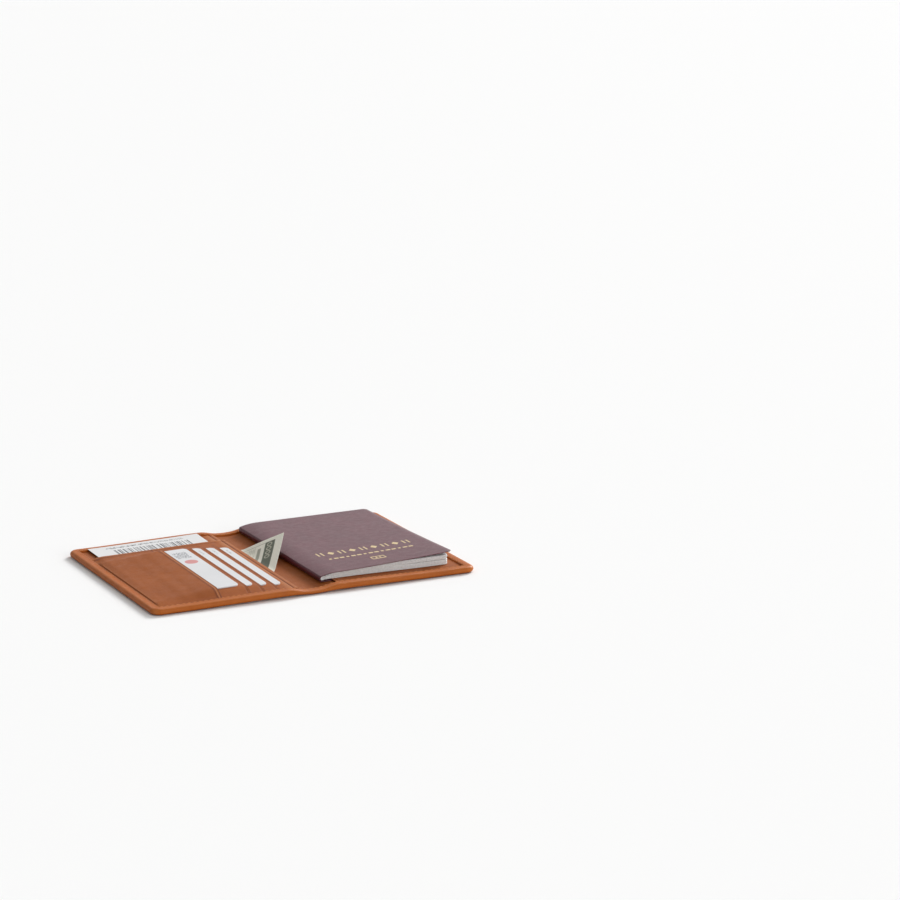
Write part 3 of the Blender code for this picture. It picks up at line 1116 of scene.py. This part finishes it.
def board_material():
    """Grey pressed board of the stiffeners, hidden between cover and lining."""
    shader = Shader("stiffener_board")
    stops = [(0.3, rgb(0.22, 0.20, 0.17)), (0.7, rgb(0.34, 0.31, 0.27))]
    shader.color(shader.ramp(shader.noise(1200.0, 4.0), stops))
    shader.value(Roughness=0.9)
    shader.normal(shader.bump(shader.noise(2500.0), 0.05 * MM))
    return shader.material


def page_material():
    """White paper with fine layer lines on the upright edges of the leaves only."""
    shader = Shader("booklet_paper")
    z = shader.axes()[2]
    sides = shader.add("ShaderNodeSeparateXYZ")
    shader.link(shader.add("ShaderNodeTexCoord").outputs["Normal"], sides.inputs["Vector"])
    edge = shader.span(shader.math("ABSOLUTE", sides.outputs["Z"]), 0.3, 0.6, 1.0, 0.0)
    rows = shader.wave(z, 0.11 * MM)
    layers = shader.times(rows, edge)
    fibres = shader.noise(900.0, 2.0)
    tone = shader.math("ADD", shader.times(layers, 0.10), fibres)
    shader.color(shader.ramp(tone, [(0.35, rgb(0.80, 0.83, 0.82)), (0.6, rgb(0.93, 0.95, 0.95))]))
    shader.value(Roughness=0.75)
    shader.normal(shader.bump(layers, 0.02 * MM))
    return shader.material


def pass_material():
    """Printed paper: grey bars of a made-up code and blurred rows that stand for print."""
    shader = Shader("pass_paper")
    x, y = shader.axes()[:2]
    left, right = low("boarding_pass").x, high("boarding_pass").x
    back = high("boarding_pass").y
    paper, ink = rgb(0.72, 0.72, 0.72), rgb(0.08, 0.08, 0.09)
    bars = shader.add("ShaderNodeTexNoise", noise_dimensions="1D")
    bars.inputs["Scale"].default_value = 900.0
    bars.inputs["Detail"].default_value = 1.0
    shader.link(x, bars.inputs["W"])
    code = shader.span(bars.outputs["Fac"], 0.50, 0.52)
    zone = shader.box(x, (left + 13 * MM, right - 10 * MM), y, (back - 21 * MM, back - 9.5 * MM))
    ink_mask = shader.times(code, zone)
    print_noise = shader.add("ShaderNodeTexNoise")
    print_noise.inputs["Scale"].default_value = 1050.0
    shader.link(shader.coordinates, print_noise.inputs["Vector"])
    speckle = shader.span(print_noise.outputs["Fac"], 0.48, 0.56)
    for row, thick in ((3.6, 2.8), (25.0, 1.6), (29.0, 1.6)):
        x_range = (left + 10 * MM, right - (8 + row) * MM)
        y_range = (back - (row + thick) * MM, back - row * MM)
        blurred = shader.times(shader.box(x, x_range, y, y_range), speckle)
        ink_mask = shader.math("MAXIMUM", ink_mask, blurred)
    shader.color(shader.mix(shader.times(ink_mask, 0.9), paper, ink))
    shader.value(Roughness=0.6)
    shader.normal(shader.bump(shader.noise(700.0, 3.0), 0.02 * MM))
    return shader.material


def note_material():
    """A banknote of no country: a dark band with pale loops near its end, a stripe and fine wavy lines."""
    shader = Shader("banknote_print")
    u = shader.add("ShaderNodeAttribute", attribute_name="print_u").outputs["Fac"]
    v = shader.add("ShaderNodeAttribute", attribute_name="print_v").outputs["Fac"]
    wave = shader.wave(v, 6 * MM)
    waved = shader.math("ADD", u, shader.times(wave, 0.5 * MM))
    fine = shader.wave(waved, 0.9 * MM)
    cross = shader.wave(v, 1.3 * MM)
    lines = shader.span(shader.math("ADD", fine, shader.times(cross, 0.6)), -0.2, 0.9)
    cloud = shader.span(shader.noise(170.0, 2.0), 0.42, 0.60)
    field = shader.box(u, (5 * MM, 73 * MM), v, (19 * MM, 60 * MM), 0.3 * MM)
    clouded = shader.times(lines, cloud)
    ink = shader.times(clouded, shader.times(field, 0.75))
    band = shader.box(u, (3.6 * MM, 73 * MM), v, (5.5 * MM, 12.5 * MM), 0.15 * MM)
    stripe = shader.box(u, (7.5 * MM, 70 * MM), v, (15.2 * MM, 17.6 * MM), 0.3 * MM)
    edge_line = shader.box(u, (3.4 * MM, 4.0 * MM), v, (12.5 * MM, 60 * MM))
    place = shader.math("SUBTRACT", shader.math("MODULO", u, 4.4 * MM), 2.2 * MM)
    squares = shader.math("ADD", shader.square(place, 0.0), shader.square(v, 9.2 * MM))
    radius = shader.math("SQRT", squares)
    ring = shader.inside(radius, 1.2 * MM, 1.9 * MM)
    loops = shader.times(ring, shader.inside(u, 4 * MM, 22 * MM))
    tone = shader.mix(ink, rgb(0.93, 0.91, 0.79), rgb(0.26, 0.29, 0.20))
    tone = shader.mix(shader.times(stripe, 0.62), tone, rgb(0.10, 0.12, 0.075))
    tone = shader.mix(shader.times(edge_line, 0.5), tone, rgb(0.15, 0.18, 0.11))
    tone = shader.mix(shader.times(band, 0.92), tone, rgb(0.105, 0.125, 0.09))
    tone = shader.mix(shader.times(loops, 0.8), tone, rgb(0.72, 0.70, 0.57))
    shader.color(tone)
    shader.value(Roughness=0.72)
    shader.specular(0.2)
    shader.normal(shader.bump(shader.noise(800.0, 3.0), 0.03 * MM))
    return shader.material


def card_material(number):
    """A white plastic card: card 1 shows a round red mark and a grey block, the others faint grey marks."""
    shader = Shader(f"card_print_{number}")
    x, y = shader.axes()[:2]
    right, back = high(f"card_{number}").x, high(f"card_{number}").y
    plain = shader.ramp(shader.noise(60.0), [(0.3, rgb(0.69, 0.695, 0.71)), (0.7, rgb(0.74, 0.74, 0.755))])
    speckle = shader.span(shader.noise(1300.0, 2.0), 0.47, 0.56)
    block = shader.box(x, (right - 12.5 * MM, right - 3.5 * MM), y, (back - 20 * MM, back - 7 * MM))
    if number > 1:
        block = shader.box(x, (right - 3.4 * MM, right - 2.0 * MM), y, (back - 15 * MM, back - 6 * MM))
    strength = 0.8 if number == 1 else 0.45
    marked = shader.mix(shader.times(shader.times(block, speckle), strength),
                        plain, rgb(0.09, 0.10, 0.12))
    if number == 1:
        distance = shader.math("SQRT", shader.math("ADD", shader.square(x, right - 7.5 * MM),
                                                   shader.square(y, back - 28.5 * MM)))
        disc = shader.span(distance, 4.0 * MM, 4.2 * MM, 0.8, 0.0)
        marked = shader.mix(disc, marked, rgb(0.62, 0.13, 0.12))
    shader.color(marked)
    shader.value(Roughness=0.3)
    shader.specular(0.3)
    shader.normal(shader.bump(shader.noise(500.0), 0.01 * MM))
    return shader.material


# ---------------------------------------------------------------- stage, light and camera


def stage():
    bpy.ops.mesh.primitive_plane_add(size=60.0, location=(0, 0, -0.05 * MM))
    floor = bpy.context.object
    floor.name = "studio_floor"
    shader = Shader("studio_floor")
    shader.value(Base_Color=rgb(0.90, 0.90, 0.897), Roughness=0.9)
    shader.specular(0.1)
    floor.data.materials.append(shader.material)


def soft_sun(name, place, strength, width):
    """Even light from one direction, as from a large soft box far away; width is its angle in degrees."""
    data = bpy.data.lights.new(name, "SUN")
    data.energy = strength
    data.angle = math.radians(width)
    lamp = bpy.data.objects.new(name, data)
    bpy.context.scene.collection.objects.link(lamp)
    lamp.location = place
    lamp.rotation_euler = Vector(place).to_track_quat("Z", "Y").to_euler()


BRIGHT_SIDE = (0.92, 0.39, 0.0)
SIDE_CONTRAST = 0.62


def lights():
    """White surroundings, brighter above and to the right, a wide key light there and a front fill."""
    world = bpy.data.worlds.new("studio")
    bpy.context.scene.world = world
    world.use_nodes = True
    tree = world.node_tree

    def math_node(operation, first, second, third=0.0):
        node = tree.nodes.new("ShaderNodeMath")
        node.operation = operation
        for socket, value in zip(node.inputs, (first, second, third)):
            if isinstance(value, float):
                socket.default_value = value
            else:
                tree.links.new(value, socket)
        return node.outputs["Value"]

    direction = tree.nodes.new("ShaderNodeTexCoord").outputs["Generated"]
    parts = tree.nodes.new("ShaderNodeSeparateXYZ")
    tree.links.new(direction, parts.inputs["Vector"])
    height = tree.nodes.new("ShaderNodeMapRange")
    for key, value in (("From Min", 0.0), ("From Max", 0.7), ("To Min", 0.50), ("To Max", 0.58)):
        height.inputs[key].default_value = value
    tree.links.new(parts.outputs["Z"], height.inputs["Value"])
    turned = tree.nodes.new("ShaderNodeVectorMath")
    turned.operation = "DOT_PRODUCT"
    turned.inputs[1].default_value = BRIGHT_SIDE
    tree.links.new(direction, turned.inputs[0])
    side = math_node("MULTIPLY_ADD", turned.outputs["Value"], SIDE_CONTRAST, 1.0)
    strength = math_node("MULTIPLY", height.outputs["Result"], side)
    background = tree.nodes["Background"]
    background.inputs["Color"].default_value = (1.0, 1.0, 1.0, 1.0)
    tree.links.new(strength, background.inputs["Strength"])
    soft_sun("key", (1.55, 0.95, 0.95), 2.9, 20)
    soft_sun("front_fill", (0.7, -1.9, 0.55), 0.8, 24)


def camera():
    data = bpy.data.cameras.new("camera")
    data.lens = LENS
    data.sensor_width = SENSOR
    data.clip_end = 50.0
    eye = bpy.data.objects.new("camera", data)
    bpy.context.scene.collection.objects.link(eye)
    level = math.cos(CAMERA_ELEVATION)
    towards = Vector(
        (-math.sin(CAMERA_AZIMUTH) * level, math.cos(CAMERA_AZIMUTH) * level, -math.sin(CAMERA_ELEVATION))
    )
    eye.location = AIM - towards * CAMERA_DISTANCE
    eye.rotation_euler = towards.to_track_quat("-Z", "Y").to_euler()
    bpy.context.scene.camera = eye


def covers(materials):
    """Cover leather, lining and stitching, one set for each half."""
    halves = (
        (-1, "left", "left_panel", "spine", FOLD_LEFT[0]),
        (1, "right", "spine", "right_panel", FOLD_RIGHT[0]),
    )
    for side, word, first, second, fold in halves:
        cover = cover_half(f"cover_leather_{word}", side)
        dress(cover, materials["cover"])
        lining = lining_half(f"lining_leather_{word}", side)
        dress(lining, materials["lining"])
        thread = rim_stitches(f"rim_stitches_{word}", side, materials["thread"])
        for piece in (cover, lining, thread):
            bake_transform(piece)
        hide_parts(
            f"outer_cover_{word}", f"rolled_rim_{word}",
            "outer_cover_spine", "spine_hem_front", "spine_hem_back",
        )
        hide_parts(f"lining_{word}", "lining_spine")


def main():
    camera()
    lights()
    stage()
    materials = make_materials()
    covers(materials)
    left_pockets(materials)
    cards(materials)
    boarding_pass(materials)
    banknote(materials)
    sleeve(materials)
    passport(materials)
    for node in ("stiffener_left", "stiffener_right"):
        frame["nodes"][node].data.materials.clear()
        frame["nodes"][node].data.materials.append(materials["board"])
    bpy.context.scene.view_settings.view_transform = "Standard"


main()

import json
